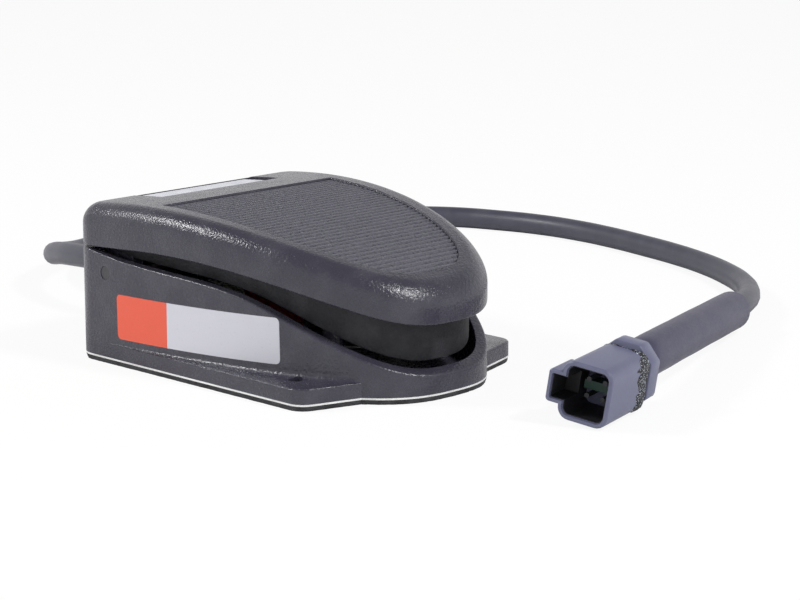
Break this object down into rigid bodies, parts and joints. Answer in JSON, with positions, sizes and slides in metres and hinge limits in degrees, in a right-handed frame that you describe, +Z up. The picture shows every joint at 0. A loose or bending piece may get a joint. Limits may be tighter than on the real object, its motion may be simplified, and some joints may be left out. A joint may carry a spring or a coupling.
{
  "type": "foot switch",
  "caption": "Low cast foot switch with a crowned, ribbed treadle hinged near its heel over a snap switch and return spring, and a cord that ends in a sealed four-way connector.",
  "frame": {"origin": "on the floor, under the middle of the base's bounding box; the free cord and its connector are not counted", "axes": "+X across, away from the labelled side; +Y to the heel, where the cord leaves; +Z up"},
  "size_m": [0.2799, 0.3348, 0.0548],
  "materials": {
    "cast_paint": "black semi-gloss paint over a fine cast texture",
    "white_sheet": "white adhesive sheet, matte",
    "pad_rubber": "black non-skid rubber, matte",
    "plate_aluminium": "satin silver plate, blank",
    "label_film": "blank printed film in orange-red and white",
    "steel": "zinc-plated steel",
    "case_plastic": "black moulded phenolic",
    "cover_plastic": "dark red moulded plastic",
    "brass": "tinned and plain brass",
    "cord_jacket": "dark grey rubber jacket, satin",
    "lead_black": "black lead insulation",
    "lead_white": "white lead insulation",
    "lead_red": "red lead insulation",
    "lead_green": "green lead insulation",
    "nylon": "natural nylon insulator",
    "boot_rubber": "black moulded rubber, matte",
    "sleeve_plastic": "dark grey shrink sleeve, matte",
    "connector_plastic": "dark blue-grey moulded plastic, satin",
    "wedge_plastic": "green moulded plastic",
    "sealant": "dark lumpy sealant"
  },
  "bodies": {
    "base": {"base_casting": "cast_paint", "adhesive_sheet": "white_sheet", "nonskid_pad": "pad_rubber", "side_label": "label_film", "hinge_pin": "steel", "return_spring": "steel", "switch_case": "case_plastic", "switch_cover": "cover_plastic", "switch_terminals": "brass", "switch_screws": "steel", "switch_nuts": "steel", "switch_bracket": "steel", "bracket_screws": "steel", "cord_saddle": "steel", "saddle_screws": "steel", "cord_inner": "cord_jacket", "lead_common": "lead_black", "lead_open": "lead_white", "lead_closed": "lead_red", "lead_ground": "lead_green", "quick_connects": "nylon", "ground_terminal": "brass", "ground_screw": "steel", "strain_relief": "boot_rubber", "cord": "cord_jacket", "shrink_sleeve": "sleeve_plastic", "connector_shell": "connector_plastic", "connector_wedge": "wedge_plastic", "connector_pins": "steel", "sealant_bead": "sealant", "connector_end_cap": "connector_plastic"},
    "treadle": {"treadle_casting": "cast_paint", "name_plate": "plate_aluminium", "adjusting_screw": "steel", "adjusting_locknut": "steel"},
    "plunger": {"switch_plunger": "cover_plastic"}
  },
  "joints": [
    {"name": "treadle_hinge", "type": "hinge", "parent": "base", "child": "treadle", "pos_m": [0, 0.0485, 0.031], "axis": [1, 0, 0], "range_deg": [0, 3.5], "stiffness_Nm_per_rad": 15, "springref_deg": -5.73, "deforming": ["return_spring"]},
    {"name": "plunger_slide", "type": "slide", "parent": "base", "child": "plunger", "axis": [0, 0, -1], "range_m": [0, 0.0017]}
  ],
  "couplings": [
    {"joint": "plunger_slide", "follows": "treadle_hinge", "m_per_rad": 0.026}
  ]
}
